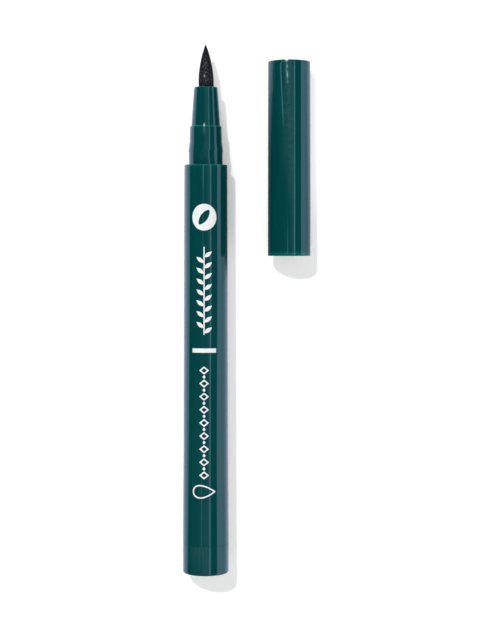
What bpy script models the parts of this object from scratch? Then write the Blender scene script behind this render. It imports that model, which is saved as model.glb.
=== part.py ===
"""Felt-tip eyeliner pen with its cap off, built as the pieces that it comes apart into.

The pen lies along Y with its tip towards +Y, and the cap lies beside it on the +X side.
Both rest on the plane z = 0, with the origin under the middle of the pair.
Every piece is turned about its own Z, which its carrier lays along Y.
"""
import math

import bmesh
import bpy
from mathutils import Vector

MM = 0.001
FULL_TURN = 2 * math.pi

# How finely round shapes are cut
SIDES = 48
ARC_STEPS = 3
CURVE_STEPS = 12
SHARP_ANGLE = math.radians(30)
MERGE_SHARE = 0.1

# Gaps round a pressed fit, at a seam that shows, and where a hidden end seats
FIT_GAP = 0.2 * MM
SEAM_GAP = 0.1 * MM
SEAT_GAP = 0.3 * MM

# How far a rib runs into the floor it stands on, and the slope of an end that is pushed in
RIB_ROOT = 0.3 * MM
LEAD_IN = 0.4 * MM

# Barrel: its bore is straight, so its wall grows with the draft, and more in a flare at the tail
BARREL_LENGTH = 86.17 * MM
BARREL_MOUTH_DIAMETER = 9.80 * MM
BARREL_DRAFT = 0.165 * MM
BARREL_FLARE = 0.145 * MM
BARREL_FLARE_LENGTH = 21.2 * MM
BARREL_MOUTH_WALL = 0.85 * MM
BARREL_EDGE = 0.2 * MM
BARREL_RIBS = 6
BARREL_RIB_WIDTH = 0.6 * MM
BARREL_RIB_HEIGHT = 0.45 * MM

# Tail plug: a collar flush with the barrel, and a cored spigot inside it
COLLAR_LENGTH = 6.6 * MM
COLLAR_DRAFT = 0.02 * MM
TAIL_EDGE = 0.5 * MM
PLUG_SPIGOT_LENGTH = 6.0 * MM
PLUG_SPIGOT_WALL = 0.9 * MM
PLUG_END_WALL = 1.9 * MM
PLUG_FINS = 4
PLUG_FIN_WIDTH = 0.7 * MM

# Nose section, from the barrel mouth to its front face
NECK_LENGTH = 2.85 * MM
SNAP_BEAD = 0.105 * MM
SNAP_BACK_LENGTH = 0.30 * MM
SNAP_RAMP_LENGTH = 2.05 * MM
SHOULDER_DROP = 0.175 * MM
SHOULDER_LENGTH = 3.60 * MM
LEDGE_DROP = 0.27 * MM
LEDGE_EDGE = 0.12 * MM
LEDGE_WIDTH = 0.30 * MM
CONE_LENGTH = 8.90 * MM
CONE_FRONT_SHARE = 0.457
CONE_EDGE = 0.2 * MM
NOSE_SPIGOT_LENGTH = 12.0 * MM
NOSE_SPIGOT_WALL = 0.9 * MM
NIB_STOP_THICKNESS = 1.8 * MM
NIB_RIBS = 4
NIB_RIB_WIDTH = 0.6 * MM
NIB_RIB_HEIGHT = 0.25 * MM

# Nib: a fullness of 1 gives its point straight flanks, and more gives rounder ones
NIB_DIAMETER = 3.45 * MM
NIB_EXPOSED_LENGTH = 9.57 * MM
NIB_POINT_LENGTH = 8.56 * MM
NIB_POINT_RADIUS = 0.25 * MM
NIB_FULLNESS = 1.9
NIB_SEAT_LENGTH = 7.0 * MM
NIB_TAIL_DIAMETER = 2.4 * MM
NIB_BITE = 6.0 * MM

# Reservoir
FILM_THICKNESS = 0.15 * MM
FILM_SETBACK = 0.4 * MM

# Cap: a touch slimmer than the barrel that it meets. Its catch is the ring inside that snaps
# behind the bead on the nose section
CAP_LENGTH = 44.45 * MM
CAP_STEP = 0.02 * MM
CAP_DRAFT = 0.06 * MM
CAP_CROWN = 0.1 * MM
CAP_END_WALL = 1.2 * MM
CAP_END_EDGE = 0.3 * MM
CAP_RIM_EDGE = 0.2 * MM
CAP_CLEARANCE = 0.1 * MM
CATCH_DEPTH = 0.05 * MM
CATCH_LENGTH = 0.4 * MM
CATCH_RAMP_LENGTH = 0.5 * MM
CAP_RIBS = 6
CAP_RIB_WIDTH = 0.7 * MM

# Inner cap: a skirt over the cone, then a narrow tip over the nib
LINER_WALL = 0.6 * MM
LINER_NIB_CLEARANCE = 0.5 * MM
LINER_TIP_CLEARANCE = 1.5 * MM
LINER_SKIRT_SPARE = 1.0 * MM
LINER_EDGE = 0.3 * MM

# How the cap lies beside the pen
AXIS_SPACING = 19.03 * MM
CAP_LAG = 3.57 * MM

# Sizes that follow
BORE_RADIUS = BARREL_MOUTH_DIAMETER / 2 - BARREL_MOUTH_WALL
FLARE_RADIUS = BARREL_MOUTH_DIAMETER / 2 + BARREL_DRAFT
BARREL_TAIL_DIAMETER = 2 * (FLARE_RADIUS + BARREL_FLARE)
TAIL_DIAMETER = BARREL_TAIL_DIAMETER + 2 * COLLAR_DRAFT
FILM_DIAMETER = 2 * (BORE_RADIUS - BARREL_RIB_HEIGHT - FIT_GAP)
SPIGOT_RADIUS = BORE_RADIUS - FIT_GAP
SNAP_RADIUS = SPIGOT_RADIUS + SNAP_BEAD
SHOULDER_RADIUS = SPIGOT_RADIUS - SHOULDER_DROP
LEDGE_RADIUS = SPIGOT_RADIUS - LEDGE_DROP
NIB_RADIUS = NIB_DIAMETER / 2
NIB_TAIL_RADIUS = NIB_TAIL_DIAMETER / 2
NIB_BORE_RADIUS = NIB_RADIUS + FIT_GAP + NIB_RIB_HEIGHT
CONE_BASE_DIAMETER = 2 * (LEDGE_RADIUS - LEDGE_WIDTH)
CONE_FRONT_DIAMETER = 2 * NIB_BORE_RADIUS + CONE_FRONT_SHARE * (CONE_BASE_DIAMETER - 2 * NIB_BORE_RADIUS)
CAP_MOUTH_DIAMETER = BARREL_MOUTH_DIAMETER - 2 * CAP_STEP
CAP_END_DIAMETER = CAP_MOUTH_DIAMETER - 2 * CAP_DRAFT
CAP_BORE_RADIUS = SNAP_RADIUS + CAP_CLEARANCE
LINER_RADIUS = CAP_BORE_RADIUS - FIT_GAP
LINER_TIP_BORE = NIB_RADIUS + LINER_NIB_CLEARANCE

SNAP_PEAK_HEIGHT = NECK_LENGTH + SNAP_BACK_LENGTH
SHOULDER_HEIGHT = SNAP_PEAK_HEIGHT + SNAP_RAMP_LENGTH
LEDGE_HEIGHT = SHOULDER_HEIGHT + SHOULDER_LENGTH
NOSE_HEIGHT = LEDGE_HEIGHT + CONE_LENGTH

# Stations along the pen, from the tail end
BARREL_STATION = COLLAR_LENGTH + SEAM_GAP
MOUTH_STATION = BARREL_STATION + BARREL_LENGTH
NOSE_STATION = MOUTH_STATION + NOSE_HEIGHT
PEN_LENGTH = NOSE_STATION + NIB_EXPOSED_LENGTH
PLUG_FRONT = COLLAR_LENGTH + PLUG_SPIGOT_LENGTH
NOSE_BACK = MOUTH_STATION - NOSE_SPIGOT_LENGTH
CORE_STATION = PLUG_FRONT + SEAT_GAP
CORE_LENGTH = NOSE_BACK - SEAT_GAP - CORE_STATION


def finish(name, colour, roughness):
    """Plain surface of one colour."""
    material = bpy.data.materials.new(name)
    material.use_nodes = True
    surface = material.node_tree.nodes["Principled BSDF"]
    surface.inputs["Base Color"].default_value = (*colour, 1)
    surface.inputs["Roughness"].default_value = roughness
    surface.inputs["Metallic"].default_value = 0
    return material


def softened(corners):
    """Outline points from (radius, height) corners, where a third value rounds the corner off."""
    points = []
    neighbours = zip(corners[-1:] + corners[:-1], corners, corners[1:] + corners[:1])
    for before, corner, after in neighbours:
        here = Vector(corner[:2])
        if len(corner) == 2:
            points.append(here)
            continue
        back = Vector(before[:2]) - here
        ahead = Vector(after[:2]) - here
        half_angle = back.angle(ahead) / 2
        reach = min(corner[2] / math.tan(half_angle), back.length / 2, ahead.length / 2)
        back.normalize()
        ahead.normalize()
        centre = here + (back + ahead).normalized() * reach / math.cos(half_angle)
        first = here + back * reach - centre
        last = here + ahead * reach - centre
        sweep = first.angle(last)
        for step in range(ARC_STEPS + 1):
            part = step / ARC_STEPS
            arc = first * math.sin((1 - part) * sweep) + last * math.sin(part * sweep)
            points.append(centre + arc / math.sin(sweep))
    return points


def mesh_object(name, shape, material=None):
    """Object made from a bmesh, shaded smooth across its round sides."""
    bmesh.ops.recalc_face_normals(shape, faces=shape.faces)
    mesh = bpy.data.meshes.new(name)
    shape.to_mesh(mesh)
    shape.free()
    mesh.shade_smooth()
    mesh.set_sharp_from_angle(angle=SHARP_ANGLE)
    if material:
        mesh.materials.append(material)
    piece = bpy.data.objects.new(name, mesh)
    bpy.context.collection.objects.link(piece)
    return piece


def turned(name, outline, material):
    """Solid turned about Z. An outline that starts and ends on the axis is closed there."""
    shape = bmesh.new()
    points = [shape.verts.new((radius, 0, height)) for radius, height in outline]
    hollow_through = outline[0][0] > 0
    ends = points[1:] + points[:1] if hollow_through else points[1:]
    edges = [shape.edges.new(pair) for pair in zip(points, ends)]
    bmesh.ops.spin(
        shape, geom=points + edges, cent=(0, 0, 0), axis=(0, 0, 1), angle=FULL_TURN, steps=SIDES
    )
    shortest = min(edge.calc_length() for edge in shape.edges if edge.calc_length() > 0)
    bmesh.ops.remove_doubles(shape, verts=shape.verts, dist=shortest * MERGE_SHARE)
    return mesh_object(name, shape, material)


def prism(shape, section, bottom, top):
    """Adds an upright block with the given (x, y) section."""
    floor = shape.faces.new([shape.verts.new((x, y, bottom)) for x, y in section])
    walls = bmesh.ops.extrude_face_region(shape, geom=[floor], use_keep_orig=True)
    raised = [part for part in walls["geom"] if isinstance(part, bmesh.types.BMVert)]
    bmesh.ops.translate(shape, verts=raised, vec=(0, 0, top - bottom))


def moulded_in(piece, shape, name):
    """Joins the blocks in a bmesh to a piece, as ribs are moulded in one with their wall."""
    guide = mesh_object(name, shape)
    guide.hide_render = True
    guide.display_type = "WIRE"
    join = piece.modifiers.new(name, "BOOLEAN")
    join.operation = "UNION"
    join.object = guide
    guide.parent = piece


def ribs(piece, count, width, inner, root, bottom, top):
    """Ring of ribs that stand in to the inner radius from a root inside their wall."""
    shape = bmesh.new()
    for number in range(count):
        angle = FULL_TURN * number / count
        out = Vector((math.cos(angle), math.sin(angle)))
        side = Vector((-out.y, out.x)) * width / 2
        section = [out * inner - side, out * root - side, out * root + side, out * inner + side]
        prism(shape, section, bottom, top)
    moulded_in(piece, shape, piece.name + "_ribs")


def fins(piece, count, width, reach, bottom, top):
    """Upright star of fins that meet on the axis."""
    section = []
    for number in range(count):
        angle = FULL_TURN * number / count
        out = Vector((math.cos(angle), math.sin(angle)))
        side = Vector((-out.y, out.x)) * width / 2
        half_step = FULL_TURN / count / 2
        notch = Vector((math.cos(angle + half_step), math.sin(angle + half_step)))
        section += [out * reach - side, out * reach + side, notch * width / 2 / math.sin(half_step)]
    shape = bmesh.new()
    prism(shape, section, bottom, top)
    moulded_in(piece, shape, piece.name + "_fins")


def make_barrel(material):
    """Long tube with a straight bore, a little thicker outside towards its tail."""
    barrel = turned("barrel", softened([
        (BARREL_TAIL_DIAMETER / 2, 0, BARREL_EDGE),
        (FLARE_RADIUS, BARREL_FLARE_LENGTH),
        (BARREL_MOUTH_DIAMETER / 2, BARREL_LENGTH, BARREL_EDGE),
        (BORE_RADIUS, BARREL_LENGTH, BARREL_EDGE),
        (BORE_RADIUS, 0),
    ]), material)
    ribs(
        barrel, BARREL_RIBS, BARREL_RIB_WIDTH, BORE_RADIUS - BARREL_RIB_HEIGHT,
        BORE_RADIUS + BARREL_MOUTH_WALL / 2,
        CORE_STATION - BARREL_STATION, CORE_STATION + CORE_LENGTH - BARREL_STATION,
    )
    return barrel


def make_tail_plug(material):
    """End plug: a flush collar, and a cored spigot whose fins carry the reservoir."""
    core_radius = SPIGOT_RADIUS - PLUG_SPIGOT_WALL
    plug = turned("tail_plug", softened([
        (0, 0),
        (TAIL_DIAMETER / 2, 0, TAIL_EDGE),
        (BARREL_TAIL_DIAMETER / 2, COLLAR_LENGTH, BARREL_EDGE),
        (SPIGOT_RADIUS, COLLAR_LENGTH),
        (SPIGOT_RADIUS, PLUG_FRONT - LEAD_IN),
        (SPIGOT_RADIUS - LEAD_IN, PLUG_FRONT),
        (core_radius, PLUG_FRONT),
        (core_radius, PLUG_END_WALL, LEAD_IN),
        (0, PLUG_END_WALL),
    ]), material)
    fins(
        plug, PLUG_FINS, PLUG_FIN_WIDTH, core_radius + PLUG_SPIGOT_WALL / 2,
        PLUG_END_WALL - RIB_ROOT, PLUG_FRONT,
    )
    return plug


def make_nose_section(material):
    """Stepped front piece. Its zero height is the barrel mouth."""
    nib_seat = NOSE_HEIGHT - NIB_SEAT_LENGTH - SEAT_GAP
    web_back = nib_seat - NIB_STOP_THICKNESS
    tail_hole = NIB_TAIL_RADIUS + FIT_GAP
    cored_radius = SPIGOT_RADIUS - NOSE_SPIGOT_WALL
    nose = turned("nose_section", softened([
        (SPIGOT_RADIUS - LEAD_IN, -NOSE_SPIGOT_LENGTH),
        (SPIGOT_RADIUS, LEAD_IN - NOSE_SPIGOT_LENGTH),
        (SPIGOT_RADIUS, NECK_LENGTH),
        (SNAP_RADIUS, SNAP_PEAK_HEIGHT),
        (SHOULDER_RADIUS, SHOULDER_HEIGHT),
        (LEDGE_RADIUS, LEDGE_HEIGHT, LEDGE_EDGE),
        (CONE_BASE_DIAMETER / 2, LEDGE_HEIGHT),
        (CONE_FRONT_DIAMETER / 2, NOSE_HEIGHT, CONE_EDGE),
        (NIB_BORE_RADIUS, NOSE_HEIGHT),
        (NIB_BORE_RADIUS, nib_seat),
        (tail_hole, nib_seat),
        (tail_hole, web_back),
        (cored_radius, web_back),
        (cored_radius, -NOSE_SPIGOT_LENGTH),
    ]), material)
    mid_wall = (NIB_BORE_RADIUS + CONE_FRONT_DIAMETER / 2) / 2
    ribs(
        nose, NIB_RIBS, NIB_RIB_WIDTH, NIB_BORE_RADIUS - NIB_RIB_HEIGHT, mid_wall,
        nib_seat - RIB_ROOT, NOSE_HEIGHT - CONE_EDGE,
    )
    return nose


def nib_point():
    """Bullet-shaped point from the full diameter to its small round end."""
    points = []
    swell = NIB_RADIUS - NIB_POINT_RADIUS
    flank_length = NIB_POINT_LENGTH - NIB_POINT_RADIUS
    flank_start = NIB_EXPOSED_LENGTH - NIB_POINT_LENGTH
    for step in range(CURVE_STEPS + 1):
        part = math.sin(math.pi / 2 * step / CURVE_STEPS)
        radius = NIB_POINT_RADIUS + swell * (1 - part ** NIB_FULLNESS)
        points.append((radius, flank_start + flank_length * part))
    for step in range(1, ARC_STEPS + 1):
        angle = math.pi / 2 * step / ARC_STEPS
        height = NIB_EXPOSED_LENGTH - NIB_POINT_RADIUS * (1 - math.sin(angle))
        points.append((NIB_POINT_RADIUS * math.cos(angle), height))
    points[-1] = (0, NIB_EXPOSED_LENGTH)
    return points


def make_nib(material):
    """Felt tip with its seat and its thin tail. Its zero height is the front of the nose."""
    tail_end = CORE_STATION + CORE_LENGTH - NIB_BITE - NOSE_STATION
    return turned("nib", softened([
        (0, tail_end),
        (NIB_TAIL_RADIUS, tail_end, LEAD_IN),
        (NIB_TAIL_RADIUS, -NIB_SEAT_LENGTH),
        (NIB_RADIUS, -NIB_SEAT_LENGTH),
        *nib_point(),
    ]), material)


def make_reservoir_core(material):
    """Fibre bundle with a socket in its front end for the tail of the nib."""
    radius = FILM_DIAMETER / 2 - FILM_THICKNESS - FIT_GAP
    socket = NIB_TAIL_RADIUS + FIT_GAP
    socket_floor = CORE_LENGTH - NIB_BITE - SEAT_GAP
    return turned("reservoir_core", softened([
        (0, 0),
        (radius, 0, LEAD_IN),
        (radius, CORE_LENGTH, LEAD_IN),
        (socket, CORE_LENGTH),
        (socket, socket_floor),
        (0, socket_floor),
    ]), material)


def make_reservoir_film(material):
    """Thin sleeve round the fibre bundle."""
    outer = FILM_DIAMETER / 2
    inner = outer - FILM_THICKNESS
    return turned("reservoir_film", softened([
        (outer, FILM_SETBACK),
        (outer, CORE_LENGTH - FILM_SETBACK),
        (inner, CORE_LENGTH - FILM_SETBACK),
        (inner, FILM_SETBACK),
    ]), material)


def crown(radius, height, rise):
    """Slightly domed end, from just inside its edge to the axis."""
    shares = [1 - step / ARC_STEPS for step in range(1, ARC_STEPS + 1)]
    return [(radius * share, height + rise * (1 - share ** 2)) for share in shares]


def liner_sizes():
    """Heights of the inner cap, from its own mouth, once it covers the cone and the nib."""
    station = LEDGE_HEIGHT + SEAT_GAP
    skirt = CONE_LENGTH + LINER_SKIRT_SPARE
    tip_room = NOSE_HEIGHT + NIB_EXPOSED_LENGTH - station + LINER_TIP_CLEARANCE
    return station, skirt, tip_room


def make_cap_shell(material):
    """Outer cap. Its zero height is its mouth."""
    end_radius = CAP_END_DIAMETER / 2
    end_height = CAP_LENGTH - CAP_CROWN
    catch_radius = SNAP_RADIUS - CATCH_DEPTH
    catch_top = NECK_LENGTH - SEAM_GAP
    catch_flat = catch_top - CATCH_RAMP_LENGTH
    catch_start = catch_flat - CATCH_LENGTH
    station, skirt, _ = liner_sizes()
    shell = turned("cap_shell", softened([
        (0, CAP_LENGTH - CAP_CROWN - CAP_END_WALL),
        (CAP_BORE_RADIUS, CAP_LENGTH - CAP_CROWN - CAP_END_WALL, LEAD_IN),
        (CAP_BORE_RADIUS, catch_top),
        (catch_radius, catch_flat),
        (catch_radius, catch_start),
        (CAP_BORE_RADIUS, catch_start - CATCH_RAMP_LENGTH),
        (CAP_BORE_RADIUS, 0, CAP_RIM_EDGE),
        (CAP_MOUTH_DIAMETER / 2, 0, CAP_RIM_EDGE),
        (end_radius, end_height, CAP_END_EDGE),
        *crown(end_radius, end_height, CAP_CROWN),
    ]), material)
    mid_wall = (CAP_BORE_RADIUS + end_radius) / 2
    ribs(
        shell, CAP_RIBS, CAP_RIB_WIDTH, LINER_TIP_BORE + LINER_WALL + FIT_GAP, mid_wall,
        station + skirt + LINER_WALL + SEAT_GAP, end_height - CAP_END_WALL + RIB_ROOT,
    )
    return shell


def make_inner_cap(material):
    """Liner that seals round the cone. Its skirt fits the cone, and its tip covers the nib."""
    _, skirt, tip_room = liner_sizes()
    return turned("inner_cap", softened([
        (0, tip_room),
        (LINER_TIP_BORE, tip_room, LINER_EDGE),
        (LINER_TIP_BORE, skirt),
        (CONE_FRONT_DIAMETER / 2 + FIT_GAP, skirt),
        (CONE_FRONT_DIAMETER / 2 + FIT_GAP, CONE_LENGTH),
        (CONE_BASE_DIAMETER / 2 + FIT_GAP, 0),
        (LINER_RADIUS, 0, LINER_EDGE),
        (LINER_RADIUS, skirt + LINER_WALL, LINER_EDGE),
        (LINER_TIP_BORE + LINER_WALL, skirt + LINER_WALL),
        (LINER_TIP_BORE + LINER_WALL, tip_room + LINER_WALL, LINER_EDGE),
        (0, tip_room + LINER_WALL),
    ]), material)


def widest(pieces):
    """Largest radius among turned pieces."""
    return max(math.hypot(*vertex.co.xy) for piece in pieces for vertex in piece.data.vertices)


def lay_down(name, pieces, x, y, z):
    """Carrier that lays the Z of its pieces along Y, at the given place."""
    carrier = bpy.data.objects.new(name, None)
    bpy.context.collection.objects.link(carrier)
    carrier.location = (x, y, z)
    carrier.rotation_euler = (-math.pi / 2, 0, 0)
    for piece, station in pieces:
        piece.parent = carrier
        piece.location = (0, 0, station)


def build():
    """Makes every piece and lays the pen and the cap side by side."""
    for leftover in list(bpy.data.objects):
        bpy.data.objects.remove(leftover)

    shell_plastic = finish("shell_plastic", (0.002, 0.052, 0.055), 0.18)
    liner_plastic = finish("liner_plastic", (0.75, 0.76, 0.74), 0.45)
    nib_felt = finish("nib_felt", (0.018, 0.020, 0.023), 0.85)
    reservoir_fibre = finish("reservoir_fibre", (0.10, 0.10, 0.11), 0.95)
    reservoir_wrap = finish("reservoir_wrap", (0.80, 0.82, 0.82), 0.25)

    pen = [
        (make_tail_plug(shell_plastic), 0),
        (make_barrel(shell_plastic), BARREL_STATION),
        (make_reservoir_core(reservoir_fibre), CORE_STATION),
        (make_reservoir_film(reservoir_wrap), CORE_STATION),
        (make_nose_section(shell_plastic), MOUTH_STATION),
        (make_nib(nib_felt), NOSE_STATION),
    ]
    liner_station, _, _ = liner_sizes()
    cap = [
        (make_cap_shell(shell_plastic), 0),
        (make_inner_cap(liner_plastic), liner_station),
    ]
    pen_radius = widest([piece for piece, _ in pen])
    cap_radius = widest([piece for piece, _ in cap])
    pen_x = (pen_radius - AXIS_SPACING - cap_radius) / 2
    cap_y = PEN_LENGTH / 2 - CAP_LAG - CAP_LENGTH
    lay_down("pen_axis", pen, pen_x, -PEN_LENGTH / 2, pen_radius)
    lay_down("cap_axis", cap, pen_x + AXIS_SPACING, cap_y, cap_radius)


build()
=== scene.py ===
"""Looks of a felt-tip eyeliner pen and its cap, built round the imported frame.

The pen and its cap lie side by side on a white floor, seen from straight above. Every piece is
turned about its own long axis, so each one is an outline of (radius, station) corners, where a
station is a place along Y. Lengths are metres.
"""
import math

import bpy
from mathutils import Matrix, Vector


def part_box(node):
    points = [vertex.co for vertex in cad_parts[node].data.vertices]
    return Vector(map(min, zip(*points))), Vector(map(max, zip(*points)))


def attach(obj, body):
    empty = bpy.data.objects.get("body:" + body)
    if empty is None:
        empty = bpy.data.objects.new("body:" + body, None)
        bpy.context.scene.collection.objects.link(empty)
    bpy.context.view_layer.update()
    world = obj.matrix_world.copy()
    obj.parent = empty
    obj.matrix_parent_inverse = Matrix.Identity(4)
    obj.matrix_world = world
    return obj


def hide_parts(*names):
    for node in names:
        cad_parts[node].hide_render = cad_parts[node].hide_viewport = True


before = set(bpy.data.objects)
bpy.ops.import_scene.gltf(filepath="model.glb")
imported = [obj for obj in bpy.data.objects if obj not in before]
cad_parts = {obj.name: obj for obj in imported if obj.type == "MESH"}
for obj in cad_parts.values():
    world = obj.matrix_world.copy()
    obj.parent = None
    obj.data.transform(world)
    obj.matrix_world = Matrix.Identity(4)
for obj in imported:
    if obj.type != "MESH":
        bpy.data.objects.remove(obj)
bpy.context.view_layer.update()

MM = 0.001
DEGREE = math.pi / 180

# How finely round shapes are cut
SIDES = 192
FILLET_STEPS = 8
CROWN_STEPS = 8
STRAIGHT_STEPS = 12
POINT_STEPS = 150
LEAF_STEPS = 16
GUARD = 0.03 * MM
SHARP_ANGLE = 32 * DEGREE
MERGE = 0.001 * MM

# Sizes of the pen, as in the frame
BARREL_MOUTH_RADIUS = 4.90 * MM
FLARE_RADIUS = 5.065 * MM
BARREL_TAIL_RADIUS = 5.21 * MM
TAIL_RADIUS = 5.23 * MM
FLARE_LENGTH = 21.2 * MM
BORE_RADIUS = 4.05 * MM
SPIGOT_RADIUS = 3.85 * MM
SNAP_RADIUS = 3.955 * MM
SHOULDER_RADIUS = 3.675 * MM
LEDGE_RADIUS = 3.58 * MM
CONE_BASE_RADIUS = 3.28 * MM
CONE_FRONT_RADIUS = 2.68 * MM
NECK_LENGTH = 2.85 * MM
SNAP_BACK_LENGTH = 0.30 * MM
SNAP_RAMP_LENGTH = 2.05 * MM
SHOULDER_LENGTH = 3.60 * MM
NIB_BORE_RADIUS = 2.175 * MM
NIB_RADIUS = 1.725 * MM
NIB_TAIL_RADIUS = 1.2 * MM
NIB_POINT_LENGTH = 8.56 * MM
NIB_POINT_RADIUS = 0.15 * MM
NIB_FULLNESS = 1.9
NIB_SEAT_LENGTH = 7.0 * MM
TAIL_EDGE = 0.5 * MM
WALL = 0.9 * MM
PLUG_END_WALL = 1.9 * MM
FIT_GAP = 0.2 * MM
SEAT_GAP = 0.3 * MM

# Sizes of the cap, as in the frame
CAP_MOUTH_RADIUS = 4.88 * MM
CAP_END_RADIUS = 4.82 * MM
CAP_BORE_RADIUS = 4.055 * MM
CAP_CROWN = 0.1 * MM
CAP_END_WALL = 1.2 * MM
CAP_END_EDGE = 0.3 * MM
CAP_RIM_EDGE = 0.2 * MM
CATCH_RADIUS = 3.905 * MM
CATCH_BACK = 1.35 * MM
CATCH_FLAT = (1.85 * MM, 2.25 * MM)
CATCH_TOP = 2.75 * MM
LINER_WALL = 0.6 * MM
LINER_RADIUS = 3.855 * MM
LINER_TIP_BORE = 2.225 * MM
LINER_SKIRT = 9.9 * MM
CONE_LENGTH = 8.9 * MM

# Ribs, as count, width, inner radius and the radius of their roots inside the wall. The plug's
# fins cross on its axis.
BARREL_RIBS = (6, 0.6 * MM, 3.6 * MM, 4.475 * MM)
PLUG_FINS = (4, 0.7 * MM, -0.2 * MM, 3.4 * MM)
NOSE_RIBS = (4, 0.6 * MM, 1.925 * MM, 2.43 * MM)
CAP_RIBS = (6, 0.7 * MM, 3.025 * MM, 4.4375 * MM)
RIB_ROOT = 0.3 * MM

# Fine edges and fibres that only show close up
SEAM_WIDTH = 0.02 * MM
SEAM_EDGE = 0.04 * MM
MOUTH_STEP = 0.12 * MM
MOUTH_COLLAR = 1.0 * MM
GATE_RADIUS = 0.8 * MM
GATE_DEPTH = 0.12 * MM
STRAY_FIBRES = 0.10 * MM


# Node trees


def add(tree, kind, inputs=None, **settings):
    """New node. An input is a plain value, or the output that feeds it."""
    new = tree.nodes.new(kind)
    for name, value in settings.items():
        setattr(new, name, value)
    for name, value in (inputs or {}).items():
        if isinstance(value, bpy.types.NodeSocket):
            tree.links.new(value, new.inputs[name])
        else:
            new.inputs[name].default_value = value
    return new


def tree_of(values):
    """Tree of the first output among some values."""
    return next(value.id_data for value in values if isinstance(value, bpy.types.NodeSocket))


def made(kind, inputs, **settings):
    """First output of a new node, in the tree of the outputs that feed it."""
    return add(tree_of(inputs.values()), kind, inputs, **settings).outputs[0]


def fresh(tree, kind, inputs=None):
    """First output of a new node that no other node feeds."""
    return add(tree, kind, inputs).outputs[0]


def maths(operation, *values):
    """Output of a Math node."""
    return made("ShaderNodeMath", dict(enumerate(values)), operation=operation)


def plus(first, second):
    """Sum of two values."""
    return maths("ADD", first, second)


def minus(first, second):
    """First value less the second."""
    return maths("SUBTRACT", first, second)


def larger(first, second):
    """Larger of two values."""
    return maths("MAXIMUM", first, second)


def sloped(value, slope, start):
    """Value times a slope, added to a start."""
    return maths("MULTIPLY_ADD", value, slope, start)


def arrows(operation, *values):
    """Vector output of a Vector Math node."""
    return made("ShaderNodeVectorMath", dict(enumerate(values)), operation=operation)


def times(first, *others):
    """Product of several values."""
    for other in others:
        first = maths("MULTIPLY", first, other)
    return first


def vector(x, y, z):
    """Vector of three values."""
    return made("ShaderNodeCombineXYZ", {0: x, 1: y, 2: z})


def split(place):
    """X, Y and Z of a vector."""
    return add(place.id_data, "ShaderNodeSeparateXYZ", {0: place}).outputs


def noise(place, scale, detail, roughness=0.5):
    """Noise between 0 and 1."""
    values = {"Vector": place, "Scale": scale, "Detail": detail, "Roughness": roughness}
    return made("ShaderNodeTexNoise", values)


def stretched(place, scale, turn=(0, 0, 0)):
    """Place scaled and turned, for a pattern that runs one way."""
    return made("ShaderNodeMapping", {"Vector": place, "Scale": scale, "Rotation": turn})


def hill(value, centre, reach):
    """Mask of 1 at the centre that falls off smoothly to either side."""
    away = maths("DIVIDE", minus(value, centre), reach)
    return maths("EXPONENT", times(away, away, -1.0))


def rising(value, low, high):
    """Mask that eases from 0 to 1 between two values."""
    return made(
        "ShaderNodeMapRange", {"Value": value, "From Min": low, "From Max": high},
        interpolation_type="SMOOTHSTEP",
    )


def fading(value, low, high):
    """Mask that eases from 1 to 0 between two values."""
    return minus(1.0, rising(value, low, high))


def blended(share, first, second):
    """Colour between two colours."""
    return add(share.id_data, "ShaderNodeMix", {0: share, 6: first, 7: second}, data_type="RGBA").outputs[2]


def new_group(name, kind, inputs, outputs):
    """Empty node group and what it is given. Inputs and outputs are lists of names by kind."""
    group = bpy.data.node_groups.new(name, kind)
    for in_out, sockets in (("INPUT", inputs), ("OUTPUT", outputs)):
        for socket, labels in sockets.items():
            for label in labels:
                group.interface.new_socket(label, in_out=in_out, socket_type="NodeSocket" + socket)
    return group, add(group, "NodeGroupInput").outputs


# Trees that shape


def shape_tree(name, source, floats=(), counts=(), vectors=()):
    """Empty tree that makes a piece from a source mesh and named inputs."""
    inputs = {
        "Geometry": [source], "Int": counts, "Vector": vectors, "Float": [*floats, "Sharp Angle"],
        "Material": ["Material"],
    }
    return new_group(name, "GeometryNodeTree", inputs, {"Geometry": ["Piece"]})


def moved(geometry, offset):
    """Geometry with its points moved."""
    return made("GeometryNodeSetPosition", {"Geometry": geometry, "Offset": offset})


def finished(tree, geometry, given):
    """Ends a tree: smooth faces with sharp corners, real meshes, and their material."""
    smooth = made("GeometryNodeSetShadeSmooth", {"Geometry": geometry})
    bend = fresh(tree, "GeometryNodeInputMeshEdgeAngle")
    corner = made(
        "FunctionNodeCompare", {"A": bend, "B": given["Sharp Angle"]},
        data_type="FLOAT", operation="GREATER_THAN",
    )
    edged = made(
        "GeometryNodeSetShadeSmooth",
        {"Geometry": smooth, "Selection": corner, "Shade Smooth": False}, domain="EDGE",
    )
    real = made("GeometryNodeRealizeInstances", {"Geometry": edged})
    coated = made("GeometryNodeSetMaterial", {"Geometry": real, "Material": given["Material"]})
    add(tree, "NodeGroupOutput", {"Piece": coated})
    return tree


def turning_tree():
    """Turns an outline about Y: the outline's X is its radius and its Y is its station."""
    tree, given = shape_tree("turned_piece", "Outline", counts=["Sides"], vectors=["Axis"])
    ring = made("GeometryNodeCurvePrimitiveCircle", {"Resolution": given["Sides"], "Radius": 1.0})
    inward = moved(given["Outline"], (-1, 0, 0))
    profile = made("GeometryNodeMeshToCurve", {"Mesh": inward})
    swept = made("GeometryNodeCurveToMesh", {"Curve": ring, "Profile Curve": profile})
    laid = made("GeometryNodeTransform", {
        "Geometry": swept, "Translation": given["Axis"], "Rotation": (math.pi / 2, 0, 0),
    })
    closed = made("GeometryNodeMergeByDistance", {"Geometry": laid, "Distance": MERGE})
    return finished(tree, closed, given)


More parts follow.
